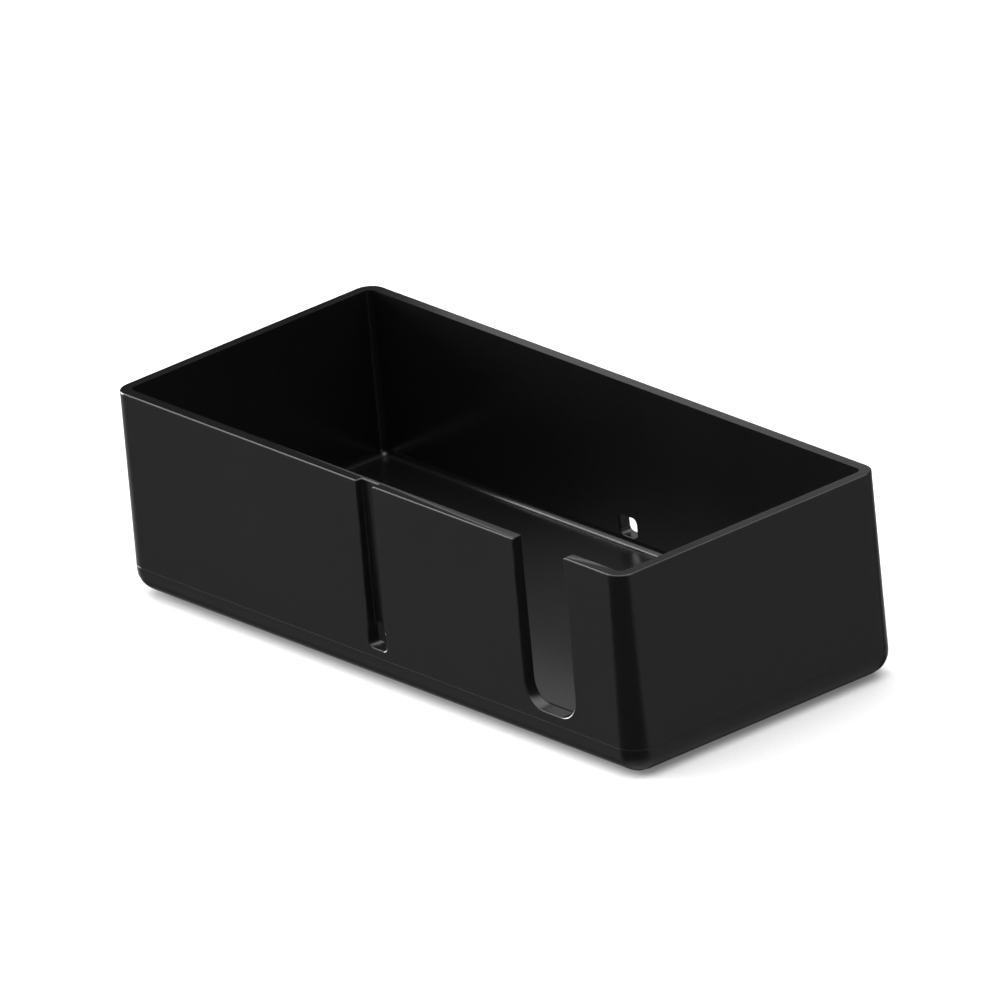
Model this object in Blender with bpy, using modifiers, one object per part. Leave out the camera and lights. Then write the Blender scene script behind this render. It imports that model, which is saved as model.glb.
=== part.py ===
"""Open display tray: a drafted tray body on a closed base pan, with ballast, screws and feet.

The frame: the origin is at the middle of the footprint, on the surface that the tray stands on.
+X runs along the tray, -Y faces the customer and +Z is up. All sizes are in metres.
"""

import math

import bmesh
import bpy
from mathutils import Matrix, Vector

# Overall sizes
RIM_LENGTH = 0.1600
RIM_WIDTH = 0.0707
HEIGHT = 0.0456
DRAFT = math.radians(0.7)
OUTER_RADIUS = 0.0053
RIM_CORNER_RADIUS = 0.0039

# Tray body
WALL = 0.0025
FLOOR_HEIGHT = 0.0084
FLOOR_THICKNESS = 0.0025
CAVITY_RADIUS = 0.0016

# Notch in the front wall
NOTCH_WIDTH = 0.0158
NOTCH_END_DISTANCE = 0.0255
NOTCH_SILL = 0.0005
NOTCH_RADIUS = 0.0052

# Cable groove and cable holes
GROOVE_WIDTH = 0.0052
GROOVE_WEB = 0.0009
HOLE_RADIUS = 0.0012
FRONT_HOLE_WIDTH = 0.0056
FRONT_HOLE_HEIGHT = 0.0048
FRONT_HOLE_ABOVE_FLOOR = 0.0027
REAR_HOLE_WIDTH = 0.0054
REAR_HOLE_HEIGHT = 0.0045
REAR_HOLE_ABOVE_FLOOR = 0.0040

# Base pan
PAN_WALL = 0.0024
PAN_FLOOR = 0.0020
PAN_STRAIGHT_RIM = 0.0010
PAN_INNER_RADIUS = 0.0029
PARTING_GAP = 0.0003

# Feet
FOOT_RADIUS = 0.0050
FOOT_HEIGHT = 0.0012
FOOT_STANDS_PROUD = 0.0005
FOOT_INSET = 0.0132
FOOT_EDGE = 0.0003

# Screws and their bosses
SCREW_RADIUS = 0.00125
SCREW_LENGTH = 0.0051
SCREW_HEAD_RADIUS = 0.0023
SCREW_HEAD_HEIGHT = 0.0012
SCREW_TIP = 0.0009
SCREW_TIP_RADIUS = 0.0004
SCREW_HEAD_CHAMFER = 0.0004
SCREW_INSET = 0.0260
RECESS_LENGTH = 0.0026
RECESS_WIDTH = 0.0005
RECESS_DEPTH = 0.0007
BOSS_WALL = 0.0017
BOSS_SKIN = 0.0008
COUNTERBORE_DEPTH = 0.0016
POST_WALL = 0.0011
POST_THICKNESS = 0.0016

# Ballast plate and the pins that place it
BALLAST_THICKNESS = 0.0020
BALLAST_SCREW_CLEARANCE = 0.0030
BALLAST_WALL_CLEARANCE = 0.0045
BALLAST_RADIUS = 0.0030
PIN_RADIUS = 0.0020
PIN_SPACING = 0.0600
PIN_STANDS_PROUD = 0.0004

# Clearances, overlaps of joined shapes and the fineness of round shapes
CLEARANCE = 0.0003
OVERLAP = 0.0010
ROUND_SEGMENTS = 6
CIRCLE_SIDES = 24
MERGE_DISTANCE = 0.00001
SAME_HEIGHT = 0.000001
NEARLY_PARALLEL = 0.9
SHARP_ANGLE = math.radians(35)
THROUGH, UP = 1, 2

PAN_BOTTOM = FOOT_STANDS_PROUD
SEAM = PAN_BOTTOM + OUTER_RADIUS + PAN_STRAIGHT_RIM
BODY_BOTTOM = SEAM + PARTING_GAP
FLOOR_UNDERSIDE = FLOOR_HEIGHT - FLOOR_THICKNESS
PAN_FLOOR_TOP = PAN_BOTTOM + PAN_FLOOR
CAVITY_LENGTH = RIM_LENGTH - 2 * WALL
CAVITY_WIDTH = RIM_WIDTH - 2 * WALL
BALLAST_BOTTOM = PAN_FLOOR_TOP + CLEARANCE
BALLAST_TOP = BALLAST_BOTTOM + BALLAST_THICKNESS

SCREW_SEAT = PAN_BOTTOM + COUNTERBORE_DEPTH
POST_TOP = SCREW_SEAT + POST_THICKNESS
BOSS_BOTTOM = POST_TOP + CLEARANCE
BOSS_RADIUS = SCREW_RADIUS + CLEARANCE + BOSS_WALL
COUNTERBORE_RADIUS = SCREW_HEAD_RADIUS + CLEARANCE
POST_RADIUS = COUNTERBORE_RADIUS + POST_WALL


def outer_spread(height):
    """How much longer and wider the drafted outside is at this height than at the rim."""
    return 2 * (HEIGHT - height) * math.tan(DRAFT)


SEAM_LENGTH = RIM_LENGTH + outer_spread(SEAM)
SEAM_WIDTH = RIM_WIDTH + outer_spread(SEAM)
PAN_CAVITY_LENGTH = SEAM_LENGTH - 2 * PAN_WALL
PAN_CAVITY_WIDTH = SEAM_WIDTH - 2 * PAN_WALL
FOOT_X = SEAM_LENGTH / 2 - FOOT_INSET
FOOT_Y = SEAM_WIDTH / 2 - FOOT_INSET
SCREW_X = SEAM_LENGTH / 2 - SCREW_INSET
SCREW_Y = FOOT_Y
BALLAST_LENGTH = 2 * (SCREW_X - POST_RADIUS - BALLAST_SCREW_CLEARANCE)
BALLAST_WIDTH = PAN_CAVITY_WIDTH - 2 * BALLAST_WALL_CLEARANCE
CORNERS = {
    "front_left": (-1, -1),
    "front_right": (1, -1),
    "rear_left": (-1, 1),
    "rear_right": (1, 1),
}


def clear_scene():
    for obj in list(bpy.data.objects):
        bpy.data.objects.remove(obj, do_unlink=True)


def make_collection(name):
    collection = bpy.data.collections.new(name)
    bpy.context.scene.collection.children.link(collection)
    return collection


def make_material(name, color, roughness, metallic):
    material = bpy.data.materials.new(name)
    material.use_nodes = True
    shader = material.node_tree.nodes["Principled BSDF"]
    shader.inputs["Base Color"].default_value = (*color, 1.0)
    shader.inputs["Roughness"].default_value = roughness
    shader.inputs["Metallic"].default_value = metallic
    return material


def object_from(name, bm, collection):
    mesh = bpy.data.meshes.new(name)
    bmesh.ops.recalc_face_normals(bm, faces=bm.faces)
    bm.to_mesh(mesh)
    bm.free()
    obj = bpy.data.objects.new(name, mesh)
    collection.objects.link(obj)
    return obj


def make_part(name, bm, material):
    part = object_from(name, bm, parts)
    part.data.materials.append(material)
    return part


def make_cutter(name, bm):
    cutter = object_from(name, bm, cutters)
    cutter.hide_render = True
    cutter.display_type = "WIRE"
    return cutter


def box(low, high):
    bm = bmesh.new()
    bmesh.ops.create_cube(bm, size=1.0)
    low, high = Vector(low), Vector(high)
    middle = (low + high) / 2
    for vert in bm.verts:
        vert.co = Vector(c * s + m for c, s, m in zip(vert.co, high - low, middle))
    return bm


def centred_box(length, width, bottom, top):
    return box((-length / 2, -width / 2, bottom), (length / 2, width / 2, top))


def cylinder(radius, bottom, top, x=0.0, y=0.0, sides=CIRCLE_SIDES):
    bm = bmesh.new()
    place = Matrix.Translation((x, y, (bottom + top) / 2))
    bmesh.ops.create_cone(
        bm,
        cap_ends=True,
        segments=sides,
        radius1=radius,
        radius2=radius,
        depth=top - bottom,
        matrix=place,
    )
    return bm


def runs_along(edge, axis):
    return abs((edge.verts[0].co - edge.verts[1].co).normalized()[axis]) > NEARLY_PARALLEL


def is_at(edge, height):
    return all(abs(vert.co.z - height) < SAME_HEIGHT for vert in edge.verts)


def bevel_edges(bm, edges, radius, segments=ROUND_SEGMENTS):
    bmesh.ops.bevel(
        bm,
        geom=edges,
        offset=radius,
        offset_type="OFFSET",
        segments=segments,
        profile=0.5,
        affect="EDGES",
        clamp_overlap=False,
    )
    return bm


def round_uprights(bm, radius):
    return bevel_edges(bm, [edge for edge in bm.edges if runs_along(edge, UP)], radius)


def round_uprights_and_bottom(bm, bottom, radius):
    edges = [edge for edge in bm.edges if runs_along(edge, UP) or is_at(edge, bottom)]
    return bevel_edges(bm, edges, radius)


def reshape_top(bm, length, width, radius, top, top_length, top_width, top_radius):
    """Drafts a rounded box: its top gets its own length, width and corner radius."""
    for vert in bm.verts:
        if abs(vert.co.z - top) > SAME_HEIGHT:
            continue
        side_x = math.copysign(1.0, vert.co.x)
        side_y = math.copysign(1.0, vert.co.y)
        turn = Vector((side_x * (length / 2 - radius), side_y * (width / 2 - radius), top))
        outward = (vert.co - turn).normalized()
        turn.x = side_x * (top_length / 2 - top_radius)
        turn.y = side_y * (top_width / 2 - top_radius)
        vert.co = turn + outward * top_radius
    return bm


def boolean(target, tool, operation):
    modifier = target.modifiers.new(f"{operation.lower()} {tool.name}", "BOOLEAN")
    modifier.operation = operation
    modifier.object = tool
    modifier.solver = "EXACT"


def cut(target, name, bm):
    boolean(target, make_cutter(name, bm), "DIFFERENCE")


def join(target, name, bm):
    boolean(target, make_cutter(name, bm), "UNION")


def cable_hole(wall_side, width, height, above_floor):
    """A rounded square hole through the front (-1) or rear (+1) wall, on the middle of the tray."""
    inside = wall_side * (CAVITY_WIDTH / 2 - OVERLAP)
    outside = wall_side * (SEAM_WIDTH / 2 + OVERLAP)
    middle = FLOOR_HEIGHT + above_floor
    low = (-width / 2, min(inside, outside), middle - height / 2)
    high = (width / 2, max(inside, outside), middle + height / 2)
    bm = box(low, high)
    return bevel_edges(bm, [edge for edge in bm.edges if runs_along(edge, THROUGH)], HOLE_RADIUS)


def notch():
    """The U-shaped notch: open at the rim, with two rounded corners at its sill."""
    middle = RIM_LENGTH / 2 - NOTCH_END_DISTANCE
    sill = FLOOR_HEIGHT + NOTCH_SILL
    low = (middle - NOTCH_WIDTH / 2, -SEAM_WIDTH / 2 - OVERLAP, sill)
    high = (middle + NOTCH_WIDTH / 2, -CAVITY_WIDTH / 2 + OVERLAP, HEIGHT + OVERLAP)
    bm = box(low, high)
    corners = [edge for edge in bm.edges if runs_along(edge, THROUGH) and is_at(edge, sill)]
    return bevel_edges(bm, corners, NOTCH_RADIUS)


def groove():
    """The cable groove, from the rim down into the front cable hole, leaving a thin web behind it."""
    bottom = FLOOR_HEIGHT + FRONT_HOLE_ABOVE_FLOOR
    low = (-GROOVE_WIDTH / 2, -SEAM_WIDTH / 2 - OVERLAP, bottom)
    high = (GROOVE_WIDTH / 2, -CAVITY_WIDTH / 2 - GROOVE_WEB, HEIGHT + OVERLAP)
    return box(low, high)


def make_tray_body(material):
    spread = outer_spread(BODY_BOTTOM)
    length = RIM_LENGTH + spread
    width = RIM_WIDTH + spread
    shell = round_uprights(centred_box(length, width, BODY_BOTTOM, HEIGHT), OUTER_RADIUS)
    rim = (HEIGHT, RIM_LENGTH, RIM_WIDTH, RIM_CORNER_RADIUS)
    reshape_top(shell, length, width, OUTER_RADIUS, *rim)
    body = make_part("tray_body", shell, material)

    spigot_length = PAN_CAVITY_LENGTH - 2 * CLEARANCE
    spigot_width = PAN_CAVITY_WIDTH - 2 * CLEARANCE
    spigot = centred_box(spigot_length, spigot_width, FLOOR_UNDERSIDE, BODY_BOTTOM + OVERLAP)
    spigot_radius = PAN_INNER_RADIUS - CLEARANCE
    join(body, "floor_spigot", round_uprights(spigot, spigot_radius))

    for corner, (side_x, side_y) in CORNERS.items():
        x, y = side_x * SCREW_X, side_y * SCREW_Y
        boss = cylinder(BOSS_RADIUS, BOSS_BOTTOM, FLOOR_UNDERSIDE + OVERLAP, x, y)
        join(body, f"boss_{corner}", boss)
        pilot = cylinder(
            SCREW_RADIUS + CLEARANCE, BOSS_BOTTOM - OVERLAP, FLOOR_HEIGHT - BOSS_SKIN, x, y
        )
        cut(body, f"pilot_hole_{corner}", pilot)

    cavity = centred_box(CAVITY_LENGTH, CAVITY_WIDTH, FLOOR_HEIGHT, HEIGHT + OVERLAP)
    cut(body, "cavity", round_uprights_and_bottom(cavity, FLOOR_HEIGHT, CAVITY_RADIUS))
    cut(body, "notch", notch())
    cut(body, "cable_groove", groove())
    front_hole = (FRONT_HOLE_WIDTH, FRONT_HOLE_HEIGHT, FRONT_HOLE_ABOVE_FLOOR)
    rear_hole = (REAR_HOLE_WIDTH, REAR_HOLE_HEIGHT, REAR_HOLE_ABOVE_FLOOR)
    cut(body, "front_cable_hole", cable_hole(-1, *front_hole))
    cut(body, "rear_cable_hole", cable_hole(1, *rear_hole))


def make_base_pan(material):
    shell = centred_box(SEAM_LENGTH, SEAM_WIDTH, PAN_BOTTOM, SEAM)
    shell = round_uprights_and_bottom(shell, PAN_BOTTOM, OUTER_RADIUS)
    pan = make_part("base_pan", shell, material)

    hollow = centred_box(PAN_CAVITY_LENGTH, PAN_CAVITY_WIDTH, PAN_FLOOR_TOP, SEAM + OVERLAP)
    hollow = round_uprights_and_bottom(hollow, PAN_FLOOR_TOP, PAN_INNER_RADIUS)
    cut(pan, "pan_hollow", hollow)

    for corner, (side_x, side_y) in CORNERS.items():
        x, y = side_x * SCREW_X, side_y * SCREW_Y
        post = cylinder(POST_RADIUS, PAN_BOTTOM + PAN_FLOOR / 2, POST_TOP, x, y)
        join(pan, f"post_{corner}", post)
        counterbore = cylinder(COUNTERBORE_RADIUS, PAN_BOTTOM - OVERLAP, SCREW_SEAT, x, y)
        cut(pan, f"counterbore_{corner}", counterbore)
        hole = cylinder(SCREW_RADIUS + CLEARANCE, SCREW_SEAT - OVERLAP, POST_TOP + OVERLAP, x, y)
        cut(pan, f"screw_hole_{corner}", hole)
        recess_top = FOOT_HEIGHT + CLEARANCE
        recess = cylinder(
            FOOT_RADIUS + CLEARANCE,
            PAN_BOTTOM - OVERLAP,
            recess_top,
            side_x * FOOT_X,
            side_y * FOOT_Y,
        )
        cut(pan, f"foot_recess_{corner}", recess)

    for side, name in ((-1, "left"), (1, "right")):
        pin_top = BALLAST_TOP + PIN_STANDS_PROUD
        pin = cylinder(PIN_RADIUS, PAN_BOTTOM + PAN_FLOOR / 2, pin_top, side * PIN_SPACING / 2)
        join(pan, f"ballast_pin_{name}", pin)


def make_ballast_plate(material):
    plate = centred_box(BALLAST_LENGTH, BALLAST_WIDTH, BALLAST_BOTTOM, BALLAST_TOP)
    ballast = make_part("ballast_plate", round_uprights(plate, BALLAST_RADIUS), material)
    for side, name in ((-1, "left"), (1, "right")):
        hole = cylinder(
            PIN_RADIUS + CLEARANCE,
            BALLAST_BOTTOM - OVERLAP,
            BALLAST_TOP + OVERLAP,
            side * PIN_SPACING / 2,
        )
        cut(ballast, f"pin_hole_{name}", hole)


def make_foot(name, x, y, material):
    bm = cylinder(FOOT_RADIUS, 0.0, FOOT_HEIGHT, x, y)
    lower_edge = [edge for edge in bm.edges if is_at(edge, 0.0)]
    bevel_edges(bm, lower_edge, FOOT_EDGE, segments=2)
    make_part(name, bm, material)


def turned(name, profile, material, x, y):
    """A solid of revolution about Z; the profile's points run from the top down its outer side."""
    bm = bmesh.new()
    verts = [bm.verts.new((radius, 0.0, height)) for radius, height in profile]
    for upper, lower in zip(verts, verts[1:]):
        bm.edges.new((upper, lower))
    mesh = bpy.data.meshes.new(name)
    bm.to_mesh(mesh)
    bm.free()
    obj = bpy.data.objects.new(name, mesh)
    parts.objects.link(obj)
    obj.location = (x, y, 0.0)
    obj.data.materials.append(material)
    screw = obj.modifiers.new("turn", "SCREW")
    screw.axis = "Z"
    screw.steps = CIRCLE_SIDES
    screw.render_steps = CIRCLE_SIDES
    screw.use_merge_vertices = True
    screw.merge_threshold = MERGE_DISTANCE
    return obj


def make_screw(name, x, y, material):
    head_top = SCREW_SEAT
    head_bottom = head_top - SCREW_HEAD_HEIGHT
    tip = head_top + SCREW_LENGTH
    profile = [
        (0.0, tip),
        (SCREW_TIP_RADIUS, tip),
        (SCREW_RADIUS, tip - SCREW_TIP),
        (SCREW_RADIUS, head_top - CLEARANCE),
        (SCREW_HEAD_RADIUS, head_top - CLEARANCE),
        (SCREW_HEAD_RADIUS, head_bottom + SCREW_HEAD_CHAMFER),
        (SCREW_HEAD_RADIUS - SCREW_HEAD_CHAMFER, head_bottom),
        (0.0, head_bottom),
    ]
    screw = turned(name, profile, material, x, y)
    slots = {"long": (RECESS_LENGTH, RECESS_WIDTH), "cross": (RECESS_WIDTH, RECESS_LENGTH)}
    for slot, (size_x, size_y) in slots.items():
        low = (x - size_x / 2, y - size_y / 2, head_bottom - OVERLAP)
        high = (x + size_x / 2, y + size_y / 2, head_bottom + RECESS_DEPTH)
        cut(screw, f"{name}_{slot}_recess", box(low, high))


clear_scene()
parts = make_collection("coin_display_tray")
cutters = make_collection("cutters")

shell_plastic = make_material("black satin plastic", (0.012, 0.012, 0.013), 0.34, 0.0)
pan_plastic = make_material("black base plastic", (0.011, 0.011, 0.012), 0.36, 0.0)
foot_rubber = make_material("dark grey rubber", (0.030, 0.030, 0.032), 0.85, 0.0)
screw_steel = make_material("zinc plated steel", (0.55, 0.55, 0.56), 0.35, 1.0)
plate_steel = make_material("cold rolled steel", (0.32, 0.32, 0.33), 0.45, 1.0)

make_tray_body(shell_plastic)
make_base_pan(pan_plastic)
make_ballast_plate(plate_steel)
for corner, (side_x, side_y) in CORNERS.items():
    make_foot(f"foot_{corner}", side_x * FOOT_X, side_y * FOOT_Y, foot_rubber)
    make_screw(f"base_screw_{corner}", side_x * SCREW_X, side_y * SCREW_Y, screw_steel)

for part in parts.objects:
    part.data.shade_smooth()
    part.data.set_sharp_from_angle(angle=SHARP_ANGLE)
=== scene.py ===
# %% [markdown]
# # A black counter tray, from a CAD frame to a finished picture
# The tray is a small box moulded in black plastic. A lower pan closes its hollow bottom, four screws
# hold the two together, a steel plate gives it weight and four rubber feet keep it still.
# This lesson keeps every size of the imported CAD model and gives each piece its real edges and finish.
# It could all be modelled again from nothing, but then each size would have two homes and drift apart.

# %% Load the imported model
import math

import bmesh
import bpy
from mathutils import Matrix, Vector


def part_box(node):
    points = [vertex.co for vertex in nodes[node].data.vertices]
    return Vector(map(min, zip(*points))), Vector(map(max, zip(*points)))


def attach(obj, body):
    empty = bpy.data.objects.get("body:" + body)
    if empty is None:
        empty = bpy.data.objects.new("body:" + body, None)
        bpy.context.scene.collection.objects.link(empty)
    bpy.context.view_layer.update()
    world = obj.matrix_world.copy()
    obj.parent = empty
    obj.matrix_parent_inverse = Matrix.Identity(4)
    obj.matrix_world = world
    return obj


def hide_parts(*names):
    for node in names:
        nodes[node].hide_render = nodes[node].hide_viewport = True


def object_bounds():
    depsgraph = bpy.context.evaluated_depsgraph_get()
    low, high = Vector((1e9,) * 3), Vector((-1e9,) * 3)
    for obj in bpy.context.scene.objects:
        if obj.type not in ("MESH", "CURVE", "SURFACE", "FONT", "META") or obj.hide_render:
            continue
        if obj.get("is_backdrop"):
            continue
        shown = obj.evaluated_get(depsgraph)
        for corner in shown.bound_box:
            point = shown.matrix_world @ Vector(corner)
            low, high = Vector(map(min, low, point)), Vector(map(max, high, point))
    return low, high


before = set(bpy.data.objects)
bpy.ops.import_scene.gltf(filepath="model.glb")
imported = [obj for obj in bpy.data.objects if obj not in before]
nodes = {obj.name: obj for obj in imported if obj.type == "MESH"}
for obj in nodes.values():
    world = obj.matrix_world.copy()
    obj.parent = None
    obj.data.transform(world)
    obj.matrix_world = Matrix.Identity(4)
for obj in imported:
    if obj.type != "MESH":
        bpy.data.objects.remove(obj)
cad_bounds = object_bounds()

MILLIMETRE = 0.001
size_mm = [round((high - low) / MILLIMETRE, 2) for low, high in zip(*cad_bounds)]
print("nodes:", len(nodes), "- size of the tray in mm:", size_mm)

# %% [markdown]
# ## The camera first
# A product picture of a small box is often taken from far away with a very long lens, so that its edges
# stay almost parallel. A wide lens from near by would spread the walls and make the tray look like a
# building. The camera here is eight metres away and turned a few degrees about its own axis, and it is
# described by its angles about the tray, which is easier to change than a position.

# %% Place the camera
VIEW_AZIMUTH = math.radians(51.25)
VIEW_ELEVATION = math.radians(22.88)
VIEW_ROLL = math.radians(-5.43)
VIEW_DISTANCE = 8.208
LONG_LENS = 1440.0
SENSOR_WIDTH = 36.0
LOOK_AT = Vector((4.4, -3.7, 32.2)) * MILLIMETRE


def direction_from(azimuth, elevation):
    """The direction out of the tray's middle: azimuth 0 is in front of it, and 90 degrees is at +X."""
    level = math.cos(elevation)
    return Vector((math.sin(azimuth) * level, -math.cos(azimuth) * level, math.sin(elevation)))


def linked(obj):
    bpy.context.scene.collection.objects.link(obj)
    return obj


towards_camera = direction_from(VIEW_AZIMUTH, VIEW_ELEVATION)
level_right = Vector((math.cos(VIEW_AZIMUTH), math.sin(VIEW_AZIMUTH), 0.0))
level_up = towards_camera.cross(level_right)
right = level_right * math.cos(VIEW_ROLL) + level_up * math.sin(VIEW_ROLL)
up = level_up * math.cos(VIEW_ROLL) - level_right * math.sin(VIEW_ROLL)

camera_data = bpy.data.cameras.new("camera")
camera_data.lens = LONG_LENS
camera_data.sensor_width = SENSOR_WIDTH
camera = linked(bpy.data.objects.new("camera", camera_data))
turn = Matrix((right, up, towards_camera)).transposed().to_4x4()
camera.matrix_world = Matrix.Translation(LOOK_AT + towards_camera * VIEW_DISTANCE) @ turn
bpy.context.scene.camera = camera
field = SENSOR_WIDTH / LONG_LENS * VIEW_DISTANCE
print("the picture is", round(field / MILLIMETRE), "mm wide at the tray")

# %% [markdown]
# ## Edges that a mould leaves
# No moulded edge is perfectly sharp. The tool leaves a radius of about a quarter of a millimetre, and that
# thin round is what catches the light along the rim. A shader can fake it by bending normals, but it has
# no width from the side, so here the edge is cut into the mesh. The CAD mesh is first joined up and its
# flat faces are merged, because a bevel runs cleanly only along real edges. The bevel's own overlap clamp
# is off: it would shrink every round to suit the shortest edge of the whole piece, so the weld takes those
# short edges out first instead. The new narrow faces get a mark, so that the finishes can find them.

# %% Helpers: a clean copy of a CAD node, and rounded edges
WELD_DISTANCE = 0.03 * MILLIMETRE
SAME_LEVEL = 0.01 * MILLIMETRE
FLAT_ANGLE = math.radians(0.6)
EDGE_ANGLE = math.radians(32)


def clean_copy(node):
    """The CAD node's mesh with its corners welded and its flat faces merged."""
    bm = bmesh.new()
    bm.from_mesh(nodes[node].data)
    bmesh.ops.remove_doubles(bm, verts=bm.verts, dist=WELD_DISTANCE)
    bmesh.ops.dissolve_limit(bm, angle_limit=FLAT_ANGLE, verts=bm.verts, edges=bm.edges)
    bmesh.ops.recalc_face_normals(bm, faces=bm.faces)
    return bm


def at_level(edge, level):
    return all(abs(vert.co.z - level) < SAME_LEVEL for vert in edge.verts)


def soften_edges(bm, edge_break, segments, stays_crisp=None):
    """Rounds the sharp edges, except those that stays_crisp() picks, and marks the new narrow faces."""
    sharp = [edge for edge in bm.edges if edge.is_manifold and edge.calc_face_angle() > EDGE_ANGLE]
    crisp = [edge for edge in sharp if stays_crisp and stays_crisp(edge)]
    for edge in crisp:
        edge.smooth = False
    mark = bm.faces.layers.float.new("edge_break")
    rounded = [edge for edge in sharp if edge not in crisp]
    made = bmesh.ops.bevel(
        bm,
        geom=rounded,
        offset=edge_break,
        offset_type="OFFSET",
        segments=segments,
        profile=0.5,
        affect="EDGES",
        clamp_overlap=False,
    )
    for face in made["faces"]:
        face[mark] = 1.0
    open_edges = sum(not edge.is_manifold for edge in bm.edges)
    return f"{len(rounded)} edges rounded by {edge_break / MILLIMETRE:.2f} mm, {open_edges} left open"


def finish_piece(name, bm, node):
    """Turns the mesh into a smooth shaded piece that stands for the CAD node."""
    mesh = bpy.data.meshes.new(name)
    bm.to_mesh(mesh)
    bm.free()
    mesh.shade_smooth()
    piece = linked(bpy.data.objects.new(name, mesh))
    weighted = piece.modifiers.new("flat faces stay flat", "WEIGHTED_NORMAL")
    weighted.keep_sharp = True
    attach(piece, "root")
    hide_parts(node)
    return piece


# %% [markdown]
# ## The tray shell and the base pan
# The shell and the pan are two mouldings, and between them runs a joint that shows only as a fine line,
# plainest round the corners. A line could be painted on, but a painted line doesn't turn with the light.
# The CAD model keeps its pieces 0.3 mm apart, as a stand-in for a close fit, so the shell's skirt is
# drawn down here until the joint is as fine as the real one. The skirt stays crisp and the pan's edge is
# rounded by a hair, which is what catches the light where the joint turns a corner.

# %% The tray shell
SHELL_EDGE = 0.28 * MILLIMETRE
INNER_EDGE_INSET = 2.3 * MILLIMETRE
CAD_JOINT_GAP = 0.3 * MILLIMETRE
REAL_JOINT_GAP = 0.1 * MILLIMETRE

shell_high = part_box("tray_body")[1]
joint_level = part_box("base_pan")[1].z
skirt_level = joint_level + REAL_JOINT_GAP


def stays_crisp_on_shell(edge):
    """The skirt's edges at the joint, and the rim's inner edge, where the two halves of the mould meet."""
    inside = all(
        abs(vert.co.x) < shell_high.x - INNER_EDGE_INSET and abs(vert.co.y) < shell_high.y - INNER_EDGE_INSET
        for vert in edge.verts
    )
    return at_level(edge, skirt_level) or (inside and at_level(edge, shell_high.z))


shell_mesh = clean_copy("tray_body")
skirt = [v for v in shell_mesh.verts if abs(v.co.z - joint_level - CAD_JOINT_GAP) < SAME_LEVEL]
for vert in skirt:
    vert.co.z = skirt_level
shell_edges = soften_edges(shell_mesh, SHELL_EDGE, 3, stays_crisp_on_shell)
tray_shell = finish_piece("tray_shell", shell_mesh, "tray_body")
print("skirt corners moved:", len(skirt), "-", shell_edges)

# %% The base pan
PAN_EDGE = 0.07 * MILLIMETRE

pan_mesh = clean_copy("base_pan")
pan_edges = soften_edges(pan_mesh, PAN_EDGE, 2)
base_shell = finish_piece("base_shell", pan_mesh, "base_pan")
print("base pan:", pan_edges)

# %% [markdown]
# ## The small pieces underneath
# Screws, feet and the steel plate are seen only from below or not at all, but a part in a library is
# turned over by the people who use it. Each gets the edge of its own trade: rubber is moulded with a soft
# lip, a screw head is rolled, and a plate is sheared and only lightly deburred.

# %% Feet, screws and the ballast plate
SMALL_EDGES = {
    "foot": ("foot_rubber", 0.16 * MILLIMETRE, 3),
    "base_screw": ("screw_steel", 0.08 * MILLIMETRE, 2),
    "ballast": ("ballast_steel", 0.15 * MILLIMETRE, 2),
}
small_pieces = {}
for node in sorted(nodes):
    for kind, (slot, edge_break, segments) in SMALL_EDGES.items():
        if node.startswith(kind):
            small_mesh = clean_copy(node)
            print(node, "-", soften_edges(small_mesh, edge_break, segments))
            small_pieces[node] = finish_piece(f"{node}_piece", small_mesh, node)
print("small pieces:", len(small_pieces))

# %% [markdown]
# ## Effects that several finishes share
# A moulded surface is never one number. The steel tool is spark eroded, so the plastic has a fine grain;
# it cools unevenly, so its gloss drifts a little; hands and shelves polish its edges. Each effect is built
# once as a node group that puts out a value, and each material decides what that value does. The same
# look could be painted as an image, but a pattern made of nodes stays sharp from near and never repeats.

# %% A helper that builds a node group
def new_group(name, inputs, output_names):
    """An empty group with float or vector inputs and float outputs, and its two end nodes."""
    group = bpy.data.node_groups.new(name, "ShaderNodeTree")
    for label, value in inputs.items():
        kind = "NodeSocketVector" if isinstance(value, tuple) else "NodeSocketFloat"
        group.interface.new_socket(label, in_out="INPUT", socket_type=kind).default_value = value
    for label in output_names:
        group.interface.new_socket(label, in_out="OUTPUT", socket_type="NodeSocketFloat")
    return group, group.nodes.new("NodeGroupInput"), group.nodes.new("NodeGroupOutput")


def add(tree, kind, **settings):
    node = tree.nodes.new(kind)
    for name, value in settings.items():
        setattr(node, name, value)
    return node


def calculate(tree, operation, first, second):
    """A Math node whose two inputs are sockets or plain numbers."""
    node = add(tree, "ShaderNodeMath", operation=operation)
    for socket, value in zip(node.inputs, (first, second)):
        if isinstance(value, (int, float)):
            socket.default_value = value
        else:
            tree.links.new(value, socket)
    return node.outputs["Value"]


def noise(tree, scale, detail, roughness=0.5):
    """A noise in the piece's own metres: the object's origin is the tray's, so it never slides."""
    place = add(tree, "ShaderNodeTexCoord")
    node = add(tree, "ShaderNodeTexNoise")
    node.inputs["Detail"].default_value = detail
    node.inputs["Roughness"].default_value = roughness
    tree.links.new(place.outputs["Object"], node.inputs["Vector"])
    if isinstance(scale, (int, float)):
        node.inputs["Scale"].default_value = scale
    else:
        tree.links.new(scale, node.inputs["Scale"])
    return node.outputs["Fac"]


def limited(tree, value, low, high, new_low=0.0, new_high=1.0):
    """A Map Range node with a soft start and end."""
    node = add(tree, "ShaderNodeMapRange", interpolation_type="SMOOTHSTEP")
    tree.links.new(value, node.inputs["Value"])
    for socket, number in zip(("From Min", "From Max", "To Min", "To Max"), (low, high, new_low, new_high)):
        node.inputs[socket].default_value = number
    return node.outputs["Result"]


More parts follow.
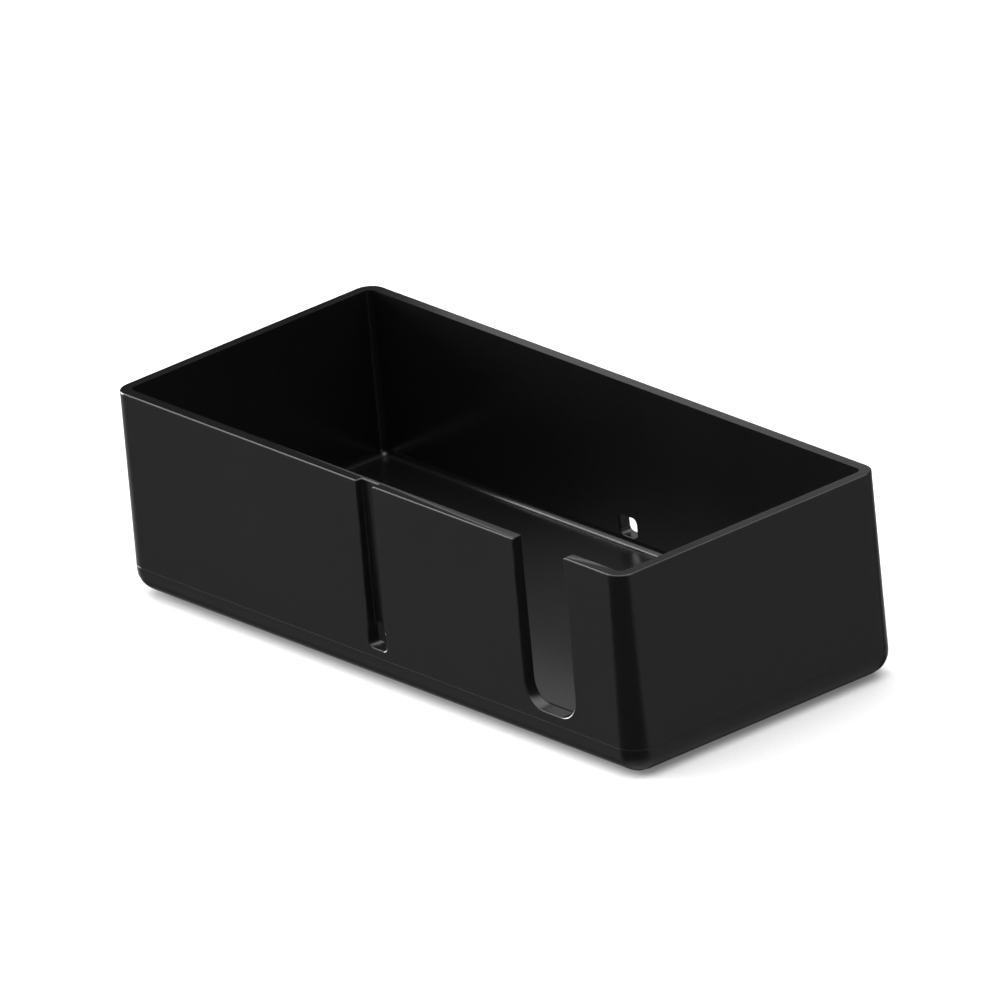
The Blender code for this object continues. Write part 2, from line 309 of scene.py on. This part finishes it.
# %% Moulded grain: the texture that the tool leaves
grain_group, start, end = new_group(
    "Moulded grain", {"Grains per metre": 5000.0, "Coarse share": 0.35}, ("Height", "Gloss change")
)
fine = noise(grain_group, start.outputs["Grains per metre"], 3.0, 0.6)
wide_scale = calculate(grain_group, "MULTIPLY", start.outputs["Grains per metre"], 0.22)
wide = noise(grain_group, wide_scale, 2.0)
wide_part = calculate(grain_group, "MULTIPLY", wide, start.outputs["Coarse share"])
grain_group.links.new(calculate(grain_group, "ADD", fine, wide_part), end.inputs["Height"])
gloss = calculate(grain_group, "SUBTRACT", fine, 0.5)
grain_group.links.new(gloss, end.inputs["Gloss change"])
print("group:", grain_group.name)

# %% Uneven cooling: gloss that drifts over the walls
cooling_group, start, end = new_group("Uneven cooling", {"Patches per metre": 38.0}, ("Drift",))
patches = noise(cooling_group, start.outputs["Patches per metre"], 4.0, 0.55)
cooling_group.links.new(limited(cooling_group, patches, 0.3, 0.7, -1.0, 1.0), end.inputs["Drift"])
print("group:", cooling_group.name)

# %% Edge wear: rubbed where hands and shelves touch
wear_group, start, end = new_group(
    "Edge wear", {"Breaks per metre": 260.0, "Amount": 1.0}, ("Rubbed",)
)
mark = add(wear_group, "ShaderNodeAttribute", attribute_name="edge_break")
broken = limited(wear_group, noise(wear_group, start.outputs["Breaks per metre"], 5.0), 0.38, 0.66)
rubbed = calculate(wear_group, "MULTIPLY", mark.outputs["Fac"], broken)
wear_group.links.new(
    calculate(wear_group, "MULTIPLY", rubbed, start.outputs["Amount"]), end.inputs["Rubbed"]
)
print("group:", wear_group.name)

# %% Settled dust: a few specks on faces that look up
dust_group, start, end = new_group(
    "Settled dust", {"Specks per metre": 900.0, "Amount": 1.0}, ("Dust",)
)
place = add(dust_group, "ShaderNodeTexCoord")
specks = add(dust_group, "ShaderNodeTexVoronoi", feature="F1")
dust_group.links.new(place.outputs["Object"], specks.inputs["Vector"])
dust_group.links.new(start.outputs["Specks per metre"], specks.inputs["Scale"])
dots = limited(dust_group, specks.outputs["Distance"], 0.16, 0.05)
surface = add(dust_group, "ShaderNodeNewGeometry")
split = add(dust_group, "ShaderNodeSeparateXYZ")
dust_group.links.new(surface.outputs["Normal"], split.inputs["Vector"])
facing_up = limited(dust_group, split.outputs["Z"], 0.6, 0.95)
where = limited(dust_group, noise(dust_group, 60.0, 3.0), 0.56, 0.72)
dusty = calculate(dust_group, "MULTIPLY", calculate(dust_group, "MULTIPLY", dots, facing_up), where)
dust_group.links.new(
    calculate(dust_group, "MULTIPLY", dusty, start.outputs["Amount"]), end.inputs["Dust"]
)
print("group:", dust_group.name)

# %% [markdown]
# ## Satin black plastic
# Both mouldings are the same black plastic. Black plastic is not a black hole: its body colour is a very
# dark grey, and most of what is seen is gloss. So the colour hardly changes, and the work is in the
# roughness. It is smoother on rubbed edges, drifts slowly over the walls and breaks up in the grain. The
# shell and the pan come from two tools, so each has its own grain and drift.

# %% A helper for a Principled material and its node groups
def new_material(name, color, roughness, metallic=0.0):
    material = bpy.data.materials.new(name)
    material.use_nodes = True
    shader = material.node_tree.nodes["Principled BSDF"]
    shader.inputs["Base Color"].default_value = (*color, 1.0)
    shader.inputs["Roughness"].default_value = roughness
    shader.inputs["Metallic"].default_value = metallic
    return material, material.node_tree, shader


def use_group(tree, group, **values):
    node = add(tree, "ShaderNodeGroup", node_tree=group)
    for label, value in values.items():
        node.inputs[label.replace("_", " ")].default_value = value
    return node


def give(piece, material):
    piece.data.materials.clear()
    piece.data.materials.append(material)


# %% The plastic of the tray shell and of the base pan
DUST_GREY = (0.09, 0.088, 0.084, 1.0)
DUST_AMOUNT = 0.5
GLOSS_DRIFT = 0.018
GRAIN_GLOSS = 0.05
RUBBED_GLOSS = -0.05


def satin_plastic(name, body, rubbed_body, roughness, grains, relief):
    """Moulded plastic: body colour, rubbed edges, drifting gloss, fine grain and a little dust."""
    material, tree, shader = new_material(name, body, roughness)
    grain = use_group(tree, grain_group, Grains_per_metre=grains)
    cooling = use_group(tree, cooling_group)
    wear = use_group(tree, wear_group)
    dust = use_group(tree, dust_group, Amount=DUST_AMOUNT)

    tint = add(tree, "ShaderNodeMix", data_type="RGBA")
    tree.links.new(wear.outputs["Rubbed"], tint.inputs["Factor"])
    tint.inputs["A"].default_value = (*body, 1.0)
    tint.inputs["B"].default_value = (*rubbed_body, 1.0)
    dusted = add(tree, "ShaderNodeMix", data_type="RGBA")
    tree.links.new(dust.outputs["Dust"], dusted.inputs["Factor"])
    tree.links.new(tint.outputs["Result"], dusted.inputs["A"])
    dusted.inputs["B"].default_value = DUST_GREY
    tree.links.new(dusted.outputs["Result"], shader.inputs["Base Color"])

    drift = calculate(tree, "MULTIPLY", cooling.outputs["Drift"], GLOSS_DRIFT)
    fine = calculate(tree, "MULTIPLY", grain.outputs["Gloss change"], GRAIN_GLOSS)
    rubbed = calculate(tree, "MULTIPLY", wear.outputs["Rubbed"], RUBBED_GLOSS)
    change = calculate(tree, "ADD", calculate(tree, "ADD", drift, fine), rubbed)
    tree.links.new(calculate(tree, "ADD", change, roughness), shader.inputs["Roughness"])

    bump = add(tree, "ShaderNodeBump")
    bump.inputs["Strength"].default_value = 1.0
    bump.inputs["Distance"].default_value = relief
    tree.links.new(grain.outputs["Height"], bump.inputs["Height"])
    tree.links.new(bump.outputs["Normal"], shader.inputs["Normal"])
    return material


shell_plastic = satin_plastic(
    "shell plastic",
    body=(0.0055, 0.0055, 0.0057),
    rubbed_body=(0.0115, 0.0115, 0.012),
    roughness=0.22,
    grains=5200.0,
    relief=0.0012 * MILLIMETRE,
)
pan_plastic = satin_plastic(
    "pan plastic",
    body=(0.0053, 0.0053, 0.0055),
    rubbed_body=(0.011, 0.011, 0.0115),
    roughness=0.23,
    grains=4300.0,
    relief=0.0014 * MILLIMETRE,
)
give(tray_shell, shell_plastic)
give(base_shell, pan_plastic)
print("materials:", shell_plastic.name, "and", pan_plastic.name)

# %% [markdown]
# ## Rubber and steel
# The feet are soft rubber: rough all over, greyer where it has rubbed on a shelf. The screws are zinc
# plated, which is bright but never a mirror. The plate is cold rolled steel, whose fine lines all run one
# way because the rollers drew them. Stretching a noise along that way gives the lines without an image.

# %% The rubber of the feet
RUBBER_BLACK = (0.03, 0.03, 0.032)
RUBBED_RUBBER = (0.075, 0.074, 0.072)
RUBBER_ROUGHNESS = 0.82

rubber, tree, shader = new_material("foot rubber", RUBBER_BLACK, RUBBER_ROUGHNESS)
grain = use_group(tree, grain_group, Grains_per_metre=2600.0, Coarse_share=0.8)
wear = use_group(tree, wear_group, Breaks_per_metre=700.0)
tint = add(tree, "ShaderNodeMix", data_type="RGBA")
tree.links.new(wear.outputs["Rubbed"], tint.inputs["Factor"])
tint.inputs["A"].default_value = (*RUBBER_BLACK, 1.0)
tint.inputs["B"].default_value = (*RUBBED_RUBBER, 1.0)
tree.links.new(tint.outputs["Result"], shader.inputs["Base Color"])
rough = calculate(tree, "MULTIPLY", grain.outputs["Gloss change"], 0.2)
tree.links.new(calculate(tree, "ADD", rough, RUBBER_ROUGHNESS), shader.inputs["Roughness"])
bump = add(tree, "ShaderNodeBump")
bump.inputs["Distance"].default_value = 0.02 * MILLIMETRE
tree.links.new(grain.outputs["Height"], bump.inputs["Height"])
tree.links.new(bump.outputs["Normal"], shader.inputs["Normal"])

# %% The two steels
LINES_PER_METRE = 3000.0
PATCHES_PER_METRE = 220.0


def steel(name, dull, bright, roughness, spread, stretch, relief):
    """A metal whose fine lines run along X by as much as stretch; 1 gives no lines at all."""
    material, tree, shader = new_material(name, bright, roughness, 1.0)
    place = add(tree, "ShaderNodeTexCoord")
    squeeze = add(tree, "ShaderNodeMapping")
    squeeze.inputs["Scale"].default_value = (1.0 / stretch, 1.0, 1.0)
    tree.links.new(place.outputs["Object"], squeeze.inputs["Vector"])
    lines = add(tree, "ShaderNodeTexNoise")
    lines.inputs["Scale"].default_value = LINES_PER_METRE
    lines.inputs["Detail"].default_value = 4.0
    tree.links.new(squeeze.outputs["Vector"], lines.inputs["Vector"])
    patches = limited(tree, noise(tree, PATCHES_PER_METRE, 4.0), 0.35, 0.65)
    tint = add(tree, "ShaderNodeMix", data_type="RGBA")
    tree.links.new(patches, tint.inputs["Factor"])
    tint.inputs["A"].default_value = (*dull, 1.0)
    tint.inputs["B"].default_value = (*bright, 1.0)
    tree.links.new(tint.outputs["Result"], shader.inputs["Base Color"])
    change = calculate(tree, "MULTIPLY", calculate(tree, "SUBTRACT", lines.outputs["Fac"], 0.5), spread)
    tree.links.new(calculate(tree, "ADD", change, roughness), shader.inputs["Roughness"])
    bump = add(tree, "ShaderNodeBump")
    bump.inputs["Distance"].default_value = relief
    tree.links.new(lines.outputs["Fac"], bump.inputs["Height"])
    tree.links.new(bump.outputs["Normal"], shader.inputs["Normal"])
    return material


zinc = steel("zinc plate", (0.42, 0.43, 0.45), (0.6, 0.6, 0.61), 0.34, 0.3, 1.0, 0.002 * MILLIMETRE)
rolled = steel("rolled steel", (0.26, 0.26, 0.27), (0.36, 0.36, 0.37), 0.42, 0.4, 25.0, 0.003 * MILLIMETRE)
SMALL_FINISHES = {"foot": rubber, "base_screw": zinc, "ballast": rolled}
for node, piece in small_pieces.items():
    for kind, material in SMALL_FINISHES.items():
        if node.startswith(kind):
            give(piece, material)
print("small pieces finished with:", [material.name for material in SMALL_FINISHES.values()])

# %% [markdown]
# ## A white table
# The tray stands on white paper that is lit until it has no shade of its own, apart from the soft shadow
# under the tray. Gloss is the trouble: white paper would show in every black wall and turn it grey. On a
# real set, dark cards are put round the black thing. Here the paper lets gloss rays pass, and they meet
# the studio's own dark lower half.

# %% The paper and how it treats gloss
PAPER_HALF_SIZE = 3.0
PAPER_BELOW_FEET = 0.05 * MILLIMETRE
PAPER_GLOW = 0.12

paper_mesh = bmesh.new()
bmesh.ops.create_grid(paper_mesh, x_segments=1, y_segments=1, size=PAPER_HALF_SIZE)
mesh = bpy.data.meshes.new("studio_floor")
paper_mesh.to_mesh(mesh)
paper_mesh.free()
floor = linked(bpy.data.objects.new("studio_floor", mesh))
floor.location.z = -PAPER_BELOW_FEET

paper, tree, shader = new_material("white paper", (0.82, 0.82, 0.82), 0.9)
fibres = limited(tree, noise(tree, 1500.0, 5.0), 0.3, 0.7, 0.8, 0.84)
tree.links.new(fibres, shader.inputs["Base Color"])
shader.inputs["Emission Color"].default_value = (1.0, 1.0, 1.0, 1.0)
shader.inputs["Emission Strength"].default_value = PAPER_GLOW
path = add(tree, "ShaderNodeLightPath")
clear = add(tree, "ShaderNodeBsdfTransparent")
mix = add(tree, "ShaderNodeMixShader")
tree.links.new(path.outputs["Is Glossy Ray"], mix.inputs["Fac"])
tree.links.new(shader.outputs["BSDF"], mix.inputs[1])
tree.links.new(clear.outputs["BSDF"], mix.inputs[2])
tree.links.new(mix.outputs["Shader"], tree.nodes["Material Output"].inputs["Surface"])
give(floor, paper)
floor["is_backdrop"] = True
print("the paper is", 2 * PAPER_HALF_SIZE, "m square")

# %% [markdown]
# ## A studio made of soft panels
# A glossy flat face shows one small part of the room: the part that lies in its mirror direction. So the
# cards for the front wall, the right wall and the inside are placed by the face that each is meant for, with
# a formula; the other panels stand at given angles, and one bright window at the left is for the edges and
# for the soft shadow. The inside is seen by two mirrors, the floor and then the rear wall, so its card
# stands where that double mirror looks. The window is kept out of that direction, or it would burn a bright
# patch on the floor. Nothing stands on the camera's side, so the round front corner turns black. Area lamps
# would do it too, but a panel that is endlessly far away shades a long wall evenly and needs only a
# direction, a width and a brightness.

# %% One soft panel as a node group
panel_group, start, end = new_group(
    "Soft panel",
    {"Direction": (0.0, 0.0, 1.0), "Towards": (0.0, 0.0, 1.0), "Edge": 0.9, "Core": 0.98, "Brightness": 1.0},
    ("Light",),
)
aim = add(panel_group, "ShaderNodeVectorMath", operation="DOT_PRODUCT")
panel_group.links.new(start.outputs["Direction"], aim.inputs[0])
panel_group.links.new(start.outputs["Towards"], aim.inputs[1])
ramp = add(panel_group, "ShaderNodeMapRange", interpolation_type="SMOOTHSTEP")
panel_group.links.new(aim.outputs["Value"], ramp.inputs["Value"])
panel_group.links.new(start.outputs["Edge"], ramp.inputs["From Min"])
panel_group.links.new(start.outputs["Core"], ramp.inputs["From Max"])
light = calculate(panel_group, "MULTIPLY", ramp.outputs["Result"], start.outputs["Brightness"])
panel_group.links.new(light, end.inputs["Light"])
print("group:", panel_group.name)

# %% Where each face looks, and the panels that stand there
FRONT = Vector((0.0, -1.0, 0.0))
RIGHT = Vector((1.0, 0.0, 0.0))
UPWARDS = Vector((0.0, 0.0, 1.0))


def mirrored_by(face):
    """The direction that a camera ray takes after it meets a flat face with this normal."""
    return 2.0 * face.dot(towards_camera) * face - towards_camera


def turned(azimuth, elevation):
    return direction_from(math.radians(azimuth), math.radians(elevation))


# turned a little away from the camera, so that the round corner falls dark at once
ASIDE = Matrix.Rotation(math.radians(-14), 3, "Z")

# direction, half width in degrees, brightness
PANELS = {
    "card for the front wall": (ASIDE @ mirrored_by(FRONT), 30, 0.21),
    "card for the right wall": (mirrored_by(RIGHT), 45, 0.26),
    "card for the inside": (mirrored_by(UPWARDS).reflect(FRONT), 30, 1.6),
    "card behind": (turned(200, -10), 30, 0.4),
    "card low at the left": (turned(255, -20), 25, 0.5),
    "glow from below": (turned(0, -90), 50, 0.4),
    "window at the left": (turned(286, 4), 24, 26.0),
    "strip high at the left": (turned(266, 44), 14, 8.0),
    "bounce at the right": (turned(100, 10), 30, 1.5),
    "ceiling": (turned(0, 90), 62, 3.0),
}
CORE_SHARE = 0.25

world = bpy.data.worlds.new("studio")
bpy.context.scene.world = world
world.use_nodes = True
sky = world.node_tree
background = sky.nodes["Background"]
place = add(sky, "ShaderNodeTexCoord")
total = None
for label, (towards, half_width, brightness) in PANELS.items():
    panel = use_group(sky, panel_group, Brightness=brightness)
    panel.label = label
    panel.inputs["Towards"].default_value = towards
    panel.inputs["Edge"].default_value = math.cos(math.radians(half_width))
    panel.inputs["Core"].default_value = math.cos(math.radians(half_width * CORE_SHARE))
    sky.links.new(place.outputs["Generated"], panel.inputs["Direction"])
    total = panel.outputs["Light"] if total is None else calculate(sky, "ADD", total, panel.outputs["Light"])
path = add(sky, "ShaderNodeLightPath")
seen = add(sky, "ShaderNodeMix", data_type="FLOAT")
sky.links.new(path.outputs["Is Camera Ray"], seen.inputs["Factor"])
sky.links.new(total, seen.inputs["A"])
seen.inputs["B"].default_value = 1.0
sky.links.new(seen.outputs["Result"], background.inputs["Strength"])
background.inputs["Color"].default_value = (1.0, 1.0, 1.0, 1.0)
bpy.context.scene.view_settings.view_transform = "Standard"
print("panels:", len(PANELS))

# %% [markdown]
# ## A soft box for the rim
# The flat rim is darker near the front left corner than at the back. A panel that is endlessly far away
# can't do that, because every point of the rim would see the same part of it. So the rim gets one real
# area lamp close by, in its mirror direction and a little to one side: the near corner looks past its
# edge and the far corner looks into it.

# %% The soft box
BOX_DISTANCE = 0.28
BOX_ASIDE = 0.11
BOX_WIDTH = 0.24
BOX_HEIGHT = 0.11
BOX_LOWERED = 0.03
BOX_WATTS = 0.058

towards_box = mirrored_by(UPWARDS)
along_box = UPWARDS.cross(towards_box).normalized() * -1.0
box_downwards = towards_box.cross(along_box)
box_data = bpy.data.lights.new("rim soft box", "AREA")
box_data.shape = "RECTANGLE"
box_data.size = BOX_WIDTH
box_data.size_y = BOX_HEIGHT
box_data.energy = BOX_WATTS
soft_box = linked(bpy.data.objects.new("rim_soft_box", box_data))
box_place = LOOK_AT + towards_box * BOX_DISTANCE + along_box * BOX_ASIDE + box_downwards * BOX_LOWERED
box_turn = Matrix((along_box, box_downwards, towards_box)).transposed().to_4x4()
soft_box.matrix_world = Matrix.Translation(box_place) @ box_turn
soft_box.visible_camera = False
print("the soft box stands", round(BOX_DISTANCE / MILLIMETRE), "mm away")

# %% [markdown]
# ## The finished size
# The finished pieces must not grow past the CAD model, so their size is printed, beside the CAD size printed
# at the start.

# %% Measure the finished pieces
boxes = {"cad": cad_bounds, "visual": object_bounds()}
finished_mm = [round((high - low) / MILLIMETRE, 2) for low, high in zip(*boxes["visual"])]
print("size of the finished pieces in mm:", finished_mm)
